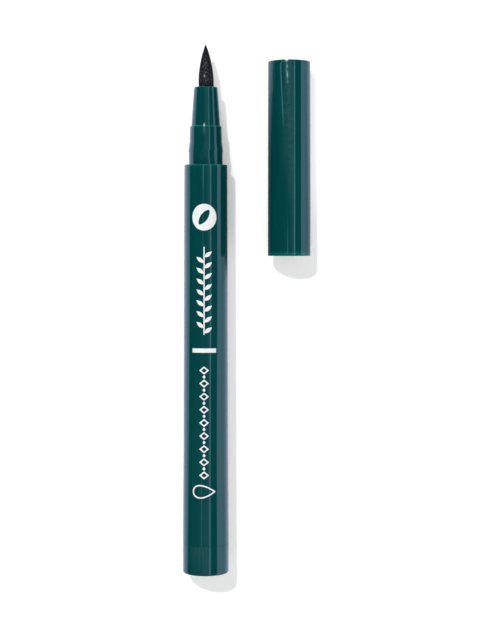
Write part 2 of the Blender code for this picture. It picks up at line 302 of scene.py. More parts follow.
def rib_tree():
    """Ring of upright ribs round an axis along Y."""
    floats = ["Width", "Inner", "Root", "Bottom", "Top"]
    tree, given = shape_tree("moulded_ribs", "Start", floats, counts=["Count"], vectors=["Axis"])
    depth = minus(given["Root"], given["Inner"])
    height = minus(given["Top"], given["Bottom"])
    block = made("GeometryNodeMeshCube", {"Size": vector(depth, height, given["Width"])})
    outward = sloped(depth, 0.5, given["Inner"])
    up = sloped(height, 0.5, given["Bottom"])
    rib = made("GeometryNodeTransform", {"Geometry": block, "Translation": vector(outward, up, 0.0)})
    places = made("GeometryNodeMeshLine", {"Count": given["Count"], "Offset": (0, 0, 0)})
    number = fresh(tree, "GeometryNodeInputIndex")
    turn = maths("DIVIDE", times(number, 2 * math.pi), given["Count"])
    ring = made("GeometryNodeInstanceOnPoints", {
        "Points": places, "Instance": rib, "Rotation": vector(0.0, turn, 0.0),
    })
    laid = made("GeometryNodeTransform", {"Geometry": ring, "Translation": given["Axis"]})
    real = made("GeometryNodeRealizeInstances", {"Geometry": laid})
    return finished(tree, real, given)


def print_tree():
    """Row of flat marks, given the thickness of ink and wrapped round a tapering barrel."""
    floats = [
        "Pitch", "First", "Lean", "Aside", "Spread", "Radius", "Mouth", "Taper", "Flare Start", "Flare",
        "Ink", "Bite",
    ]
    tree, given = shape_tree("wrapped_print", "Mark", floats, counts=["Count"], vectors=["Axis"])
    row = made("GeometryNodeMeshLine", {
        "Count": given["Count"], "Start Location": vector(given["Aside"], given["First"], 0.0),
        "Offset": vector(0.0, given["Pitch"], 0.0),
    })
    odd = maths("MODULO", fresh(tree, "GeometryNodeInputIndex"), 2.0)
    side = sloped(odd, -2.0, 1.0)
    spread = moved(row, vector(times(side, given["Spread"]), 0.0, 0.0))
    lean = vector(0.0, 0.0, times(side, given["Lean"]))
    marks = made("GeometryNodeInstanceOnPoints", {
        "Points": spread, "Instance": given["Mark"], "Rotation": lean,
    })
    flat = made("GeometryNodeRealizeInstances", {"Geometry": marks})
    raised = made(
        "GeometryNodeExtrudeMesh",
        {"Mesh": flat, "Offset": (0, 0, 1), "Offset Scale": given["Ink"], "Individual": False}, mode="FACES",
    )
    both = add(tree, "GeometryNodeJoinGeometry")
    for layer in (raised, made("GeometryNodeFlipFaces", {"Mesh": flat})):
        tree.links.new(layer, both.inputs[0])
    closed = made("GeometryNodeMergeByDistance", {"Geometry": both.outputs[0], "Distance": MERGE})
    place = split(fresh(tree, "GeometryNodeInputPosition"))
    back = minus(given["Mouth"], place["Y"])
    skin = sloped(back, given["Taper"], given["Radius"])
    past = larger(minus(given["Flare Start"], place["Y"]), 0.0)
    skin = sloped(past, given["Flare"], skin)
    height = plus(skin, minus(place["Z"], given["Bite"]))
    angle = maths("DIVIDE", place["X"], given["Radius"])
    aside = times(maths("SINE", angle), height)
    up = times(maths("COSINE", angle), height)
    on_axis = arrows("ADD", vector(aside, place["Y"], up), given["Axis"])
    laid = made("GeometryNodeSetPosition", {"Geometry": closed, "Position": on_axis})
    return finished(tree, laid, given)


def felt_tree():
    """Roughens the part of a piece past a station, as bonded fibres do, and lets it lean."""
    floats = ["From", "Fibre Length", "Fibre Width", "Depth", "Seed", "Shift", "Lean"]
    tree, given = shape_tree("roughened_felt", "Body", floats)
    place = fresh(tree, "GeometryNodeInputPosition")
    station = split(place)["Y"]
    across = maths("DIVIDE", 1.0, given["Fibre Width"])
    along = maths("DIVIDE", 1.0, given["Fibre Length"])
    scaled = arrows("MULTIPLY", place, vector(across, along, across))
    fibres = made(
        "ShaderNodeTexNoise",
        {"Vector": scaled, "W": given["Seed"], "Scale": 1.0, "Detail": 2.0, "Roughness": 0.6},
        noise_dimensions="4D",
    )
    bare = rising(station, given["From"], plus(given["From"], given["Fibre Length"]))
    swing = times(minus(fibres, 0.5), given["Depth"], bare)
    normal = fresh(tree, "GeometryNodeInputNormal")
    push = made("ShaderNodeVectorMath", {0: normal, "Scale": swing}, operation="SCALE")
    past = larger(minus(station, given["From"]), 0.0)
    aside = vector(sloped(past, given["Lean"], given["Shift"]), 0.0, 0.0)
    return finished(tree, moved(given["Body"], arrows("ADD", push, aside)), given)


def scar_tree():
    """Presses a small pointed mark into a piece."""
    tree, given = shape_tree("pressed_scar", "Body", vectors=["Place", "Reach", "Push"])
    away = arrows("SUBTRACT", fresh(tree, "GeometryNodeInputPosition"), given["Place"])
    share = arrows("DIVIDE", away, given["Reach"])
    length = add(tree, "ShaderNodeVectorMath", {0: share}, operation="LENGTH").outputs["Value"]
    depth = larger(minus(1.0, length), 0.0)
    push = made("ShaderNodeVectorMath", {0: given["Push"], "Scale": depth}, operation="SCALE")
    return finished(tree, moved(given["Body"], push), given)


def placed(name, data):
    """New object in the scene."""
    new = bpy.data.objects.new(name, data)
    bpy.context.collection.objects.link(new)
    return new


def grown(name, source, tree, material, values, sharp_angle=SHARP_ANGLE):
    """Plain mesh object of what a tree makes from a source mesh and named values."""
    values = {**values, "Material": material, "Sharp Angle": sharp_angle}
    piece = placed(name, source)
    growth = piece.modifiers.new("growth", "NODES")
    growth.node_group = tree
    for item in tree.interface.items_tree:
        if item.in_out == "INPUT" and item.name in values:
            growth[item.identifier] = values[item.name]
    bpy.context.view_layer.update()
    shaped = piece.evaluated_get(bpy.context.evaluated_depsgraph_get())
    mesh = bpy.data.meshes.new_from_object(shaped)
    piece.modifiers.remove(growth)
    piece.data = mesh
    mesh.name = name
    bpy.data.meshes.remove(source)
    return piece


def reworked(piece, tree, material, values, sharp_angle=SHARP_ANGLE):
    """Sends a finished piece through one more tree."""
    name = piece.name
    source = piece.data
    bpy.data.objects.remove(piece)
    source.name = name + "_source"
    return grown(name, source, tree, material, values, sharp_angle)


TURNING = turning_tree()
RIBBING = rib_tree()
PRINTING = print_tree()
FELTING = felt_tree()
SCARRING = scar_tree()


# Outlines


def softened(corners):
    """Outline points from (radius, station) corners. A third value rounds that corner off."""
    points = []
    neighbours = zip(corners[-1:] + corners[:-1], corners, corners[1:] + corners[:1])
    for before, corner, after in neighbours:
        here = Vector(corner[:2])
        if len(corner) == 2:
            points.append(here)
            continue
        back = Vector(before[:2]) - here
        ahead = Vector(after[:2]) - here
        half_angle = back.angle(ahead) / 2
        reach = corner[2] / math.tan(half_angle)
        back.normalize()
        ahead.normalize()
        centre = here + (back + ahead).normalized() * reach / math.cos(half_angle)
        first = here + back * reach - centre
        last = here + ahead * reach - centre
        sweep = first.angle(last)
        points.append(here + back * (reach + GUARD))
        for step in range(FILLET_STEPS + 1):
            part = step / FILLET_STEPS
            arc = first * math.sin((1 - part) * sweep) + last * math.sin(part * sweep)
            points.append(centre + arc / math.sin(sweep))
        points.append(here + ahead * (reach + GUARD))
    return points


def axis_of(node):
    """Long axis of a node, as the point that it passes at station zero."""
    low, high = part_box(node)
    middle = (low + high) / 2
    return Vector((middle.x, 0, middle.z))


def stations(node):
    """Lowest and highest station of a node."""
    low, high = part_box(node)
    return low.y, high.y


PEN_AXIS = axis_of("tail_plug")
CAP_AXIS = axis_of("cap_shell")
BARREL_BACK, BARREL_MOUTH = stations("barrel")
SNAP_PEAK = BARREL_MOUTH + NECK_LENGTH + SNAP_BACK_LENGTH
SHOULDER = SNAP_PEAK + SNAP_RAMP_LENGTH
LEDGE = SHOULDER + SHOULDER_LENGTH
NOSE_BACK, NOSE_FRONT = stations("nose_section")
CAP_MOUTH, CAP_END = stations("cap_shell")


def turned(name, axis, corners, material):
    """Piece turned round an axis along Y."""
    points = softened(corners)
    edges = [(number, number + 1) for number in range(len(points) - 1)]
    if points[0].x > 0:
        edges.append((len(points) - 1, 0))
    source = bpy.data.meshes.new(name + "_outline")
    source.from_pydata([(x, y, 0) for x, y in points], edges, [])
    return grown(name, source, TURNING, material, {"Sides": SIDES, "Axis": axis})


def ribbed(name, axis, pattern, bottom, top, material, body):
    """Ring of ribs that rides on a body."""
    count, width, inner, root = pattern
    ribs = grown(name, bpy.data.meshes.new(name + "_start"), RIBBING, material, {
        "Count": count, "Width": width, "Inner": inner, "Root": root, "Bottom": bottom, "Top": top,
        "Axis": axis,
    })
    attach(ribs, body)


# Effects that several finishes share

# Directions of hairlines, as a turn about Z and how short the lines are
HAIRLINES = [(24 * DEGREE, 70), (-9 * DEGREE, 40), (68 * DEGREE, 160)]


def moulding_flow():
    """Pigment that drifts the way the plastic ran, and the soft ripple of a moulded skin."""
    group, given = new_group(
        "moulding_flow", "ShaderNodeTree",
        {"Vector": ["Place"], "Color": ["Colour", "Drift Colour"], "Float": ["Drift", "Ripple"]},
        {"Color": ["Colour"], "Float": ["Height"]},
    )
    streaks = noise(stretched(given["Place"], (900, 45, 900)), 1.0, 4.0)
    specks = sloped(noise(given["Place"], 9000.0, 1.0), 0.6, 0.7)
    share = times(rising(streaks, 0.3, 0.75), given["Drift"], specks)
    add(group, "NodeGroupOutput", {
        "Colour": blended(share, given["Colour"], given["Drift Colour"]),
        "Height": times(noise(given["Place"], 520.0, 2.0), given["Ripple"]),
    })
    return group


def handling_marks():
    """Hairlines and faint smudges that dull a smooth surface."""
    group, given = new_group(
        "handling_marks", "ShaderNodeTree",
        {"Vector": ["Place"], "Float": ["Gloss", "Smudge", "Hairline"]}, {"Float": ["Roughness", "Height"]},
    )
    smudges = noise(given["Place"], 190.0, 5.0, 0.65)
    dull = times(rising(smudges, 0.45, 0.75), given["Smudge"])
    scratches = 0.0
    for turn, shortness in HAIRLINES:
        way = stretched(given["Place"], (2400, shortness, 1100), (0, 0.4, turn))
        line = hill(noise(way, 1.0, 0.0), 0.5, 0.006)
        line = times(line, rising(noise(way, 0.35, 0.0), 0.5, 0.62))
        scratches = larger(line, scratches)
    cut = times(scratches, given["Hairline"])
    rough = plus(given["Gloss"], dull)
    add(group, "NodeGroupOutput", {"Roughness": sloped(cut, 0.3, rough), "Height": times(cut, -1.0)})
    return group


def thin_edge():
    """Mask of a painted glow along a rim or a step, standing in for light that thin plastic lets through."""
    group, given = new_group(
        "thin_edge", "ShaderNodeTree", {"Vector": ["Place"], "Float": ["Station", "Reach", "Gain"]},
        {"Float": ["Mask"]},
    )
    band = hill(split(given["Place"])["Y"], given["Station"], given["Reach"])
    uneven = sloped(noise(given["Place"], 700.0, 1.0), 0.5, 0.75)
    add(group, "NodeGroupOutput", {"Mask": times(band, given["Gain"], uneven)})
    return group


def fibre_grain():
    """Bonded fibres: dark strands along Y, with paler ends, and pale specks among them that are partly
    painted glints of wet fibres.
    """
    group, given = new_group(
        "fibre_grain", "ShaderNodeTree",
        {
            "Vector": ["Place"], "Color": ["Dark", "Pale"],
            "Float": ["Fibre Width", "Stretch", "Cover", "Specks", "Wetness"],
        },
        {"Color": ["Colour"], "Float": ["Roughness", "Height"]},
    )
    fine = maths("DIVIDE", 1.0, given["Fibre Width"])
    scale = vector(fine, times(fine, given["Stretch"]), fine)
    strands = arrows("MULTIPLY", given["Place"], scale)
    strand = noise(strands, 1.0, 3.0, 0.7)
    ends = made("ShaderNodeTexVoronoi", {"Vector": strands, "Scale": 0.8})
    shown = rising(strand, given["Cover"], plus(given["Cover"], 0.22))
    pale = times(shown, rising(ends, 0.1, 0.6))
    # Pale specks, partly painted glints of wet fibres
    speck = add(group, "ShaderNodeTexVoronoi", {"Vector": strands, "Scale": 0.6}).outputs
    chance = made("ShaderNodeSeparateColor", {"Color": speck["Color"]})
    dot = times(fading(speck["Distance"], 0.12, 0.5), rising(chance, 0.2, 0.9))
    pale = larger(pale, times(dot, given["Specks"]))
    matt = sloped(pale, 0.35, 0.55)
    add(group, "NodeGroupOutput", {
        "Colour": blended(pale, given["Dark"], given["Pale"]),
        "Roughness": minus(matt, times(given["Wetness"], strand)),
        "Height": sloped(ends, 0.5, strand),
    })
    return group


MOULDING_FLOW = moulding_flow()
HANDLING_MARKS = handling_marks()
PAINTED_RIM_GLOW = thin_edge()
FIBRE_GRAIN = fibre_grain()


# Finishes

SHELL_COLOUR = (0.0, 0.049, 0.052, 1)
SHELL_DRIFT = (0.0, 0.058, 0.058, 1)
# Painted glow of thin rims and steps
SHELL_RIM_GLOW = (0.0, 0.150, 0.120, 1)
SHELL_TINT = (0.45, 0.9, 1, 1)
NIB_DARK = (0.004, 0.005, 0.008, 1)
NIB_PALE = (0.135, 0.147, 0.175, 1)
PAINTED_SHINE = (0.66, 0.68, 0.74, 1)
GLINT_WHITE = (0.50, 0.68, 0.70, 1)
LINE_HIGHLIGHT = (0.045, 0.185, 0.185, 1)
HAZE_AND_SHEEN = (0.016, 0.078, 0.082, 1)
INK_WHITE = (0.86, 0.88, 0.88, 1)
INK_GREY = (0.78, 0.82, 0.83, 1)
INK_WORN = (0.20, 0.30, 0.30, 1)
PLASTIC_IOR = 1.5
INK_IOR = 1.45

# Small marks, partly painted glints and highlights, as millimetres across, reach, millimetres back, reach
GATE_SCAR_GLINT = (-0.72, 0.22, 0.0, 0.45)
GATE_FLOW_AND_HIGHLIGHT = (-0.80, 0.16, 2.2, 2.2)
LEDGE_GLINT = (-0.30, 0.15, -0.08, 0.30)
LEDGE_GLINT_STREAK = (-0.30, 0.25, 0.9, 0.9)
WET_GLINT = (-0.30, 0.17, -2.4, 0.33)

# Painted glints along the gate's flow line on the cap, as millimetres back, reach and strength
GATE_GLINTS = [(1.7, 0.35, 0.42), (3.6, 0.75, 0.60), (5.1, 0.45, 0.20)]

# Painted sheen of an overhead reflection on the cap, partly haze of the plastic's flow, as millimetres
# across, its reach, the stretches where it starts and ends, and its strength
CAP_HAZE_AND_SHEEN = [
    (-0.5, 0.75, (-2, -1), (9, 22), 1.0),
    (-0.5, 1.1, (2, 12), (18, 31), 0.65),
    (0.1, 0.6, (8, 16), (24, 36), 0.8),
]

# How far a line rises, where the plastic's own ripple rises by 1
LINE_RELIEF = 2.0


def blank(name, socket_values):
    """New material, its shader and its Object coordinates."""
    material = bpy.data.materials.new(name)
    material.use_nodes = True
    tree = material.node_tree
    shader = tree.nodes["Principled BSDF"]
    for label, value in socket_values.items():
        shader.inputs[label].default_value = value
    return material, shader, add(tree, "ShaderNodeTexCoord").outputs["Object"]


def effect(group, place, values):
    """Outputs of a shared effect, placed with its own values."""
    return add(place.id_data, "ShaderNodeGroup", {"Place": place, **values}, node_tree=group).outputs


def surfaced(shader, colour, roughness, height, relief):
    """Joins colour, roughness and relief to the shader."""
    normal = made("ShaderNodeBump", {"Strength": 1.0, "Distance": relief, "Height": height})
    for label, output in (("Base Color", colour), ("Roughness", roughness), ("Normal", normal)):
        output.id_data.links.new(output, shader.inputs[label])


def on_top(place, axis, origin, radius, lowest=0.0):
    """Millimetres back from a station, millimetres across the axis, and a mask of the upper side, the side
    facing the light, to which painted highlights and shade are keyed.
    """
    parts = split(place)
    back = times(minus(origin, parts["Y"]), 1 / MM)
    across = times(minus(parts["X"], axis.x), 1 / MM)
    return back, across, rising(parts["Z"], axis.z + lowest * radius, axis.z + radius)


def spot(across, back, mark):
    """Mask of a small mark."""
    side, width, distance, length = mark
    return times(hill(across, side, width), hill(back, distance, length))


def cap_marks(place, colour, height):
    """Scar of the gate on the cap's closed end with a painted glint on it, flow lines behind it painted
    lighter as highlights with painted glints along them, the parting line painted lighter, and a painted
    sheen.
    """
    back, across, upper = on_top(place, CAP_AXIS, CAP_END, CAP_BORE_RADIUS, 0.86)
    bow = sloped(back, 0.05, -2.165)
    bow = sloped(hill(back, 0.0, 0.64), 1.3, bow)
    flow = times(hill(across, bow, 0.13), fading(back, 11.0, 17.0))
    flow = larger(flow, spot(across, back, GATE_FLOW_AND_HIGHLIGHT))
    painted_glints = 0.0
    for station, reach, strength in GATE_GLINTS:
        painted_glints = larger(times(hill(back, station, reach), strength), painted_glints)
    slant = sloped(back, 0.02, -0.61)
    glint_line = times(hill(across, slant, 0.12), painted_glints)
    parting = times(hill(across, -0.47, 0.11), rising(back, 33.0, 44.0))
    # Painted sheen of an overhead reflection, partly flow haze, kept to the upper side
    dull = 0.0
    for centre, width, starts, ends, strength in CAP_HAZE_AND_SHEEN:
        cloud = times(hill(across, centre, width), fading(back, *ends), rising(back, *starts), strength)
        dull = larger(cloud, dull)
    grain = noise(stretched(place, (1100, 2600, 1100)), 1.0, 1.0)
    dull = times(dull, rising(grain, 0.0, 0.75), upper)
    colour = blended(dull, colour, HAZE_AND_SHEEN)
    # Flow lines and parting line: raised ridges, painted lighter as highlights on the upper side
    lines = sloped(parting, 0.6, flow)
    colour = blended(times(lines, upper, 0.8), colour, LINE_HIGHLIGHT)
    # Painted white glint on the gate's scar and along the flow line, on the upper side only
    scar = spot(across, back, GATE_SCAR_GLINT)
    white = times(larger(scar, glint_line), upper)
    raised = plus(plus(lines, glint_line), scar)
    return blended(white, colour, GLINT_WHITE), sloped(raised, LINE_RELIEF, height)


def barrel_marks(place, colour, height):
    """Parting line of the mould along the top of the barrel, a raised ridge painted lighter as a highlight,
    faintest along its middle.
    """
    back, across, upper = on_top(place, PEN_AXIS, BARREL_MOUTH, BORE_RADIUS)
    line = hill(across, sloped(back, -0.005, -0.46), 0.11)
    shown = sloped(fading(back, 3.0, 6.5), 0.68, 0.06)
    shown = sloped(fading(back, 16.0, 36.0), 0.31, shown)
    shown = sloped(rising(back, 62.0, 76.0), 0.42, shown)
    line = times(line, upper, shown)
    # Ridge painted lighter as a highlight
    colour = blended(times(line, 0.62), colour, LINE_HIGHLIGHT)
    return colour, sloped(line, LINE_RELIEF, height)


def plug_marks(place, colour, height):
    """Streaky skin on the collar of the tail plug, with a painted sheen on its upper side that fades away
    from the seam.
    """
    back, across, upper = on_top(place, PEN_AXIS, BARREL_BACK, SPIGOT_RADIUS)
    streaks = noise(stretched(place, (2600, 90, 2600)), 1.0, 2.0)
    # Painted sheen, kept to the upper side and fading from the seam
    dull = times(hill(across, -1.1, 2.1), rising(streaks, 0.2, 0.7), upper)
    dull = times(dull, fading(back, 0.5, 8.0), 0.8)
    return blended(dull, colour, HAZE_AND_SHEEN), sloped(streaks, 0.4, height)


def nose_marks(place, colour, height):
    """Painted glint on the ledge, slightly raised, and a fainter painted highlight trailing behind it."""
    back, across, upper = on_top(place, PEN_AXIS, LEDGE, CONE_FRONT_RADIUS)
    glint_trail = times(spot(across, back, LEDGE_GLINT_STREAK), upper, 0.5)
    ledge_glint = times(spot(across, back, LEDGE_GLINT), upper)
    colour = blended(glint_trail, colour, LINE_HIGHLIGHT)
    return blended(ledge_glint, colour, GLINT_WHITE), sloped(ledge_glint, LINE_RELIEF, height)


def nib_marks(place, colour, height):
    """Painted shade on the flanks, point and foot, and the painted glint of one wet fibre."""
    back, across, upper = on_top(place, PEN_AXIS, NOSE_FRONT, NIB_RADIUS)
    # Painted shade: darker away from the upper side, and at the foot by the nose
    colour = blended(upper, NIB_DARK, colour)
    colour = blended(times(hill(back, 0.0, 0.9), 0.6), colour, NIB_DARK)
    # Painted glint of one wet fibre
    wet = times(spot(across, back, WET_GLINT), 0.3)
    return blended(wet, colour, PAINTED_SHINE), height


def moulded(name, colours, skin, sockets, edges=(), local_marks=None, relief=0.002 * MM):
    """Moulded plastic. Each edge is a station, a reach and a gain of a painted glow along a rim or a step."""
    material, shader, place = blank(name, {"IOR": PLASTIC_IOR, **sockets})
    colour, drift_colour, drift = colours
    flow = effect(MOULDING_FLOW, place, {
        "Colour": colour, "Drift Colour": drift_colour, "Drift": drift, "Ripple": 1.0,
    })
    gloss, smudge, hairline = skin
    marks = effect(HANDLING_MARKS, place, {"Gloss": gloss, "Smudge": smudge, "Hairline": hairline})
    colour = flow["Colour"]
    height = plus(flow["Height"], marks["Height"])
    for station, reach, gain in edges:
        mask = effect(PAINTED_RIM_GLOW, place, {"Station": station, "Reach": reach, "Gain": gain})["Mask"]
        colour = blended(mask, colour, SHELL_RIM_GLOW)
    if local_marks:
        colour, height = local_marks(place, colour, height)
    surfaced(shader, colour, marks["Roughness"], height, relief)
    return material


def shell_plastic(name, edges, local_marks):
    """Dark blue-green gloss plastic."""
    colours = (SHELL_COLOUR, SHELL_DRIFT, 0.8)
    return moulded(name, colours, (0.06, 0.05, 0.25), {"Specular Tint": SHELL_TINT}, edges, local_marks)


def soft_plastic(name, colour, drift_colour, gloss):
    """Natural moulded plastic with a satin skin."""
    return moulded(name, (colour, drift_colour, 1.0), (gloss, 0.1, 0.1), {}, relief=0.004 * MM)


def felt(name, dark, pale, grain_values, shine, local_marks=None):
    """Bonded fibre, more or less soaked."""
    material, shader, place = blank(name, {"Specular IOR Level": shine})
    grain = effect(FIBRE_GRAIN, place, {"Dark": dark, "Pale": pale, **grain_values})
    colour = grain["Colour"]
    height = grain["Height"]
    if local_marks:
        colour, height = local_marks(place, colour, height)
    surfaced(shader, colour, grain["Roughness"], height, 0.03 * MM)
    return material


def white_ink():
    """Pad-printed white ink: faint pinholes, rubbed thin here and there."""
    material, shader, place = blank("white_ink", {"IOR": INK_IOR})
    pinholes = noise(place, 7000.0, 2.0)
    rubbed = noise(place, 900.0, 3.0)
    thin = times(rising(pinholes, 0.62, 0.74), rising(rubbed, 0.4, 0.7), 0.6)
    colour = blended(rising(rubbed, 0.35, 0.8), INK_WHITE, INK_GREY)
    colour = blended(thin, colour, INK_WORN)
    marks = effect(HANDLING_MARKS, place, {"Gloss": 0.35, "Smudge": 0.15, "Hairline": 0.3})
    surfaced(shader, colour, marks["Roughness"], plus(pinholes, marks["Height"]), 0.002 * MM)
    return material


# Pen


def dressed(piece, node, body):
    """Puts a finished piece in the place of its node."""
    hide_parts(node)
    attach(piece, body)


def make_barrel():
    """Barrel: a straight bore with ribs, a slight taper outside and a flare at the tail."""
    # Painted glow along the mouth's rim, and a faint painted lightening for 5 mm behind it
    edges = [(BARREL_MOUTH - 0.25 * MM, 0.22 * MM, 0.5), (BARREL_MOUTH, 5 * MM, 0.03)]
    plastic = shell_plastic("barrel_plastic", edges, barrel_marks)
    barrel = turned("pen_barrel", PEN_AXIS, [
        (BARREL_TAIL_RADIUS, BARREL_BACK, SEAM_EDGE),
        (FLARE_RADIUS, BARREL_BACK + FLARE_LENGTH),
        (BARREL_MOUTH_RADIUS, BARREL_MOUTH, 0.2 * MM),
        (BORE_RADIUS, BARREL_MOUTH, 0.15 * MM),
        (BORE_RADIUS, BARREL_BACK),
    ], plastic)
    dressed(barrel, "barrel", "pen")
    ribbed("barrel_ribs", PEN_AXIS, BARREL_RIBS, *stations("reservoir_core"), plastic, "pen")


def make_tail_plug():
    """Tail plug: its collar continues the barrel, and its spigot is cored and finned."""
    low, high = stations("tail_plug")
    core = low + PLUG_END_WALL
    seam = BARREL_BACK - SEAM_WIDTH
    # Painted glow along the tail's end
    plastic = shell_plastic("plug_plastic", [(low, 0.3 * MM, 0.15)], plug_marks)
    plug = turned("pen_tail_plug", PEN_AXIS, [
        (0, low + GATE_DEPTH),
        (GATE_RADIUS - GATE_DEPTH, low + GATE_DEPTH),
        (GATE_RADIUS, low),
        (TAIL_RADIUS, low, TAIL_EDGE),
        (BARREL_TAIL_RADIUS, seam, SEAM_EDGE),
        (SPIGOT_RADIUS, seam),
        (SPIGOT_RADIUS, high, 0.3 * MM),
        (SPIGOT_RADIUS - WALL, high),
        (SPIGOT_RADIUS - WALL, core, 0.4 * MM),
        (0, core),
    ], plastic)
    dressed(plug, "tail_plug", "pen")
    ribbed("plug_fins", PEN_AXIS, PLUG_FINS, core - RIB_ROOT, high, plastic, "pen")


def make_nose_section():
    """Nose section: spigot, neck, snap bead, shoulder, ledge and cone."""
    collar = BARREL_MOUTH - MOUTH_COLLAR
    step = BARREL_MOUTH - MOUTH_STEP
    seat = NOSE_FRONT - NIB_SEAT_LENGTH - SEAT_GAP
    # Painted glow along the ledge and the front edge, and a faint painted lightening about 1.6 mm wide at the
    # front
    edges = [
        (LEDGE - 0.12 * MM, 0.16 * MM, 0.7), (NOSE_FRONT, 0.2 * MM, 0.2), (NOSE_FRONT, 1.6 * MM, 0.06),
    ]
    plastic = shell_plastic("nose_plastic", edges, nose_marks)
    nose = turned("pen_nose_section", PEN_AXIS, [
        (SPIGOT_RADIUS, NOSE_BACK, 0.3 * MM),
        (SPIGOT_RADIUS, collar),
        (BORE_RADIUS - SEAM_WIDTH, collar),
        (BORE_RADIUS - SEAM_WIDTH, step - CAP_RIM_EDGE),
        (SPIGOT_RADIUS, step),
        (SPIGOT_RADIUS, BARREL_MOUTH + NECK_LENGTH),
        (SNAP_RADIUS, SNAP_PEAK, 0.08 * MM),
        (SHOULDER_RADIUS, SHOULDER, 0.4 * MM),
        (LEDGE_RADIUS, LEDGE, 0.14 * MM),
        (CONE_BASE_RADIUS, LEDGE, 0.06 * MM),
        (CONE_FRONT_RADIUS, NOSE_FRONT, 0.2 * MM),
        (NIB_BORE_RADIUS, NOSE_FRONT, 0.1 * MM),
        (NIB_BORE_RADIUS, seat),
        (NIB_TAIL_RADIUS + FIT_GAP, seat),
        (NIB_TAIL_RADIUS + FIT_GAP, NOSE_BACK),
    ], plastic)
    dressed(nose, "nose_section", "pen")
    ribbed("nose_ribs", PEN_AXIS, NOSE_RIBS, seat - RIB_ROOT, NOSE_FRONT - FIT_GAP, plastic, "pen")


def make_nib():
    """Felt nib with a bullet-shaped point and a fibrous skin."""
    low, tip = stations("nib")
    tip += STRAY_FIBRES
    flank_start = tip - NIB_POINT_LENGTH
    flank_length = NIB_POINT_LENGTH - NIB_POINT_RADIUS
    swell = NIB_RADIUS - NIB_POINT_RADIUS
    corners = [
        (0, low),
        (NIB_TAIL_RADIUS, low, 0.3 * MM),
        (NIB_TAIL_RADIUS, NOSE_FRONT - NIB_SEAT_LENGTH),
        (NIB_RADIUS, NOSE_FRONT - NIB_SEAT_LENGTH),
    ]
    for step in range(STRAIGHT_STEPS):
        corners.append((NIB_RADIUS, NOSE_FRONT + (flank_start - NOSE_FRONT) * step / STRAIGHT_STEPS))
    for step in range(POINT_STEPS + 1):
        part = math.sin(math.pi / 2 * step / POINT_STEPS)
        radius = NIB_POINT_RADIUS + swell * (1 - part ** NIB_FULLNESS)
        corners.append((radius, flank_start + flank_length * part))
    for step in range(1, FILLET_STEPS):
        angle = math.pi / 2 * step / FILLET_STEPS
        corners.append((NIB_POINT_RADIUS * math.cos(angle), tip - NIB_POINT_RADIUS * (1 - math.sin(angle))))
    corners.append((0, tip))
    grain = {"Fibre Width": 0.23 * MM, "Stretch": 0.85, "Cover": 0.50, "Specks": 0.75, "Wetness": 0.1}
    black_felt = felt("nib_felt", NIB_DARK, NIB_PALE, grain, 0.05, nib_marks)
    nib = reworked(turned("pen_nib", PEN_AXIS, corners, black_felt), FELTING, black_felt, {
        "From": NOSE_FRONT, "Fibre Length": 0.32 * MM, "Fibre Width": 0.2 * MM, "Depth": 0.055 * MM,
        "Seed": 3.0, "Shift": 0.085 * MM, "Lean": -0.0145,
    }, sharp_angle=math.pi)
    dressed(nib, "nib", "pen")


# Cap


def make_cap_shell():
    """Outer cap with its slightly domed closed end and its catch ring inside."""
    edge = CAP_END - CAP_CROWN
    inside = edge - CAP_END_WALL
    # Painted glow along the mouth's rim and the closed end
    edges = [(CAP_MOUTH + 0.5 * MM, 0.35 * MM, 0.6), (CAP_END, 0.5 * MM, 0.10)]
    plastic = shell_plastic("cap_plastic", edges, cap_marks)
    crown = []
    for step in range(1, CROWN_STEPS + 1):
        share = 1 - step / CROWN_STEPS
        crown.append((CAP_END_RADIUS * share, edge + CAP_CROWN * (1 - share ** 2)))
    cap = turned("cap_outer", CAP_AXIS, [
        (0, inside),
        (CAP_BORE_RADIUS, inside, 0.4 * MM),
        (CAP_BORE_RADIUS, CAP_MOUTH + CATCH_TOP),
        (CATCH_RADIUS, CAP_MOUTH + CATCH_FLAT[1]),
        (CATCH_RADIUS, CAP_MOUTH + CATCH_FLAT[0]),
        (CAP_BORE_RADIUS, CAP_MOUTH + CATCH_BACK),
        (CAP_BORE_RADIUS, CAP_MOUTH, CAP_RIM_EDGE),
        (CAP_MOUTH_RADIUS, CAP_MOUTH, CAP_RIM_EDGE),
        (CAP_END_RADIUS, edge, CAP_END_EDGE),
        *crown,
    ], plastic)
    cap = reworked(cap, SCARRING, plastic, {
        "Place": CAP_AXIS + Vector((GATE_SCAR_GLINT[0] * MM, CAP_END, CAP_END_RADIUS)),
        "Reach": (0.35 * MM, 0.7 * MM, 1.6 * MM), "Push": (0, -0.5 * MM, 0),
    })
    dressed(cap, "cap_shell", "cap")
    liner_back = stations("inner_cap")[0] + LINER_SKIRT + LINER_WALL + SEAT_GAP
    ribbed("cap_ribs", CAP_AXIS, CAP_RIBS, liner_back, inside + RIB_ROOT, plastic, "cap")


